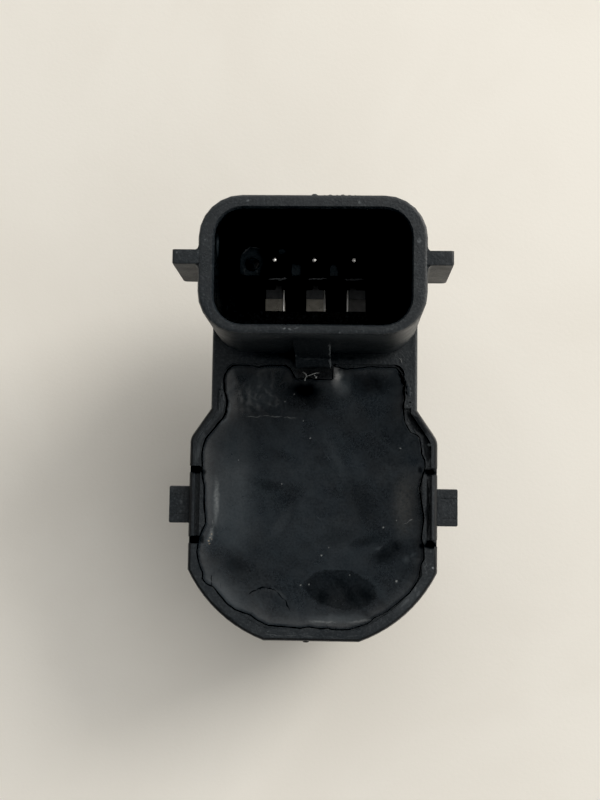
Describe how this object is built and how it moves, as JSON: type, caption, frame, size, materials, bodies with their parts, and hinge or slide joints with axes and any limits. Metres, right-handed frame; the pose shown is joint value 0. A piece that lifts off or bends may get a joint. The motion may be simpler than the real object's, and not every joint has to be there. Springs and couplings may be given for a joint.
{
  "type": "ultrasonic parking sensor",
  "caption": "Black ultrasonic parking sensor: round sensing face, potted body with snap lugs and a rear-facing plug socket with pins.",
  "frame": {"origin": "centre of the round sensing face, on the barrel's axis; the part stands on this face", "axes": "+Z runs back along the barrel to the connector's mouth, +Y runs from the barrel's axis towards the connector, X runs across the body"},
  "size_m": [0.028, 0.0402, 0.03],
  "materials": {
    "housing_plastic": "matte black glass-filled PBT moulding",
    "potting_resin": "satin black cured potting resin",
    "cup_coating": "satin black coating on an aluminium cup",
    "ring_silicone": "matte black silicone",
    "piezo_ceramic": "fired piezo ceramic",
    "damping_foam": "grey foam",
    "cover_silicone": "grey silicone",
    "lead_insulation_red": "red insulation",
    "lead_insulation_black": "black insulation",
    "board_laminate": "green solder mask on glass laminate",
    "chip_epoxy": "black moulding epoxy",
    "drum_ferrite": "dark sintered ferrite",
    "winding_copper": "enamelled copper wire",
    "capacitor_epoxy": "yellow moulding epoxy",
    "capacitor_ceramic": "tan ceramic",
    "resistor_glaze": "black glaze",
    "contact_tin": "tin-plated brass"
  },
  "bodies": {
    "root": {"housing": "housing_plastic", "potting_fill": "potting_resin", "membrane_cup": "cup_coating", "decoupling_ring": "ring_silicone", "piezo_disc": "piezo_ceramic", "damping_foam": "damping_foam", "cup_cover": "cover_silicone", "lead_wire_positive": "lead_insulation_red", "lead_wire_negative": "lead_insulation_black", "circuit_board": "board_laminate", "sensor_chip": "chip_epoxy", "transformer_core": "drum_ferrite", "transformer_winding": "winding_copper", "buffer_capacitor": "capacitor_epoxy", "filter_capacitor_left": "capacitor_ceramic", "filter_capacitor_right": "capacitor_ceramic", "protection_diode": "chip_epoxy", "damping_resistor": "resistor_glaze", "supply_resistor": "resistor_glaze", "signal_resistor": "resistor_glaze", "contact_pin_left": "contact_tin", "contact_pin_middle": "contact_tin", "contact_pin_right": "contact_tin"}
  },
  "joints": []
}
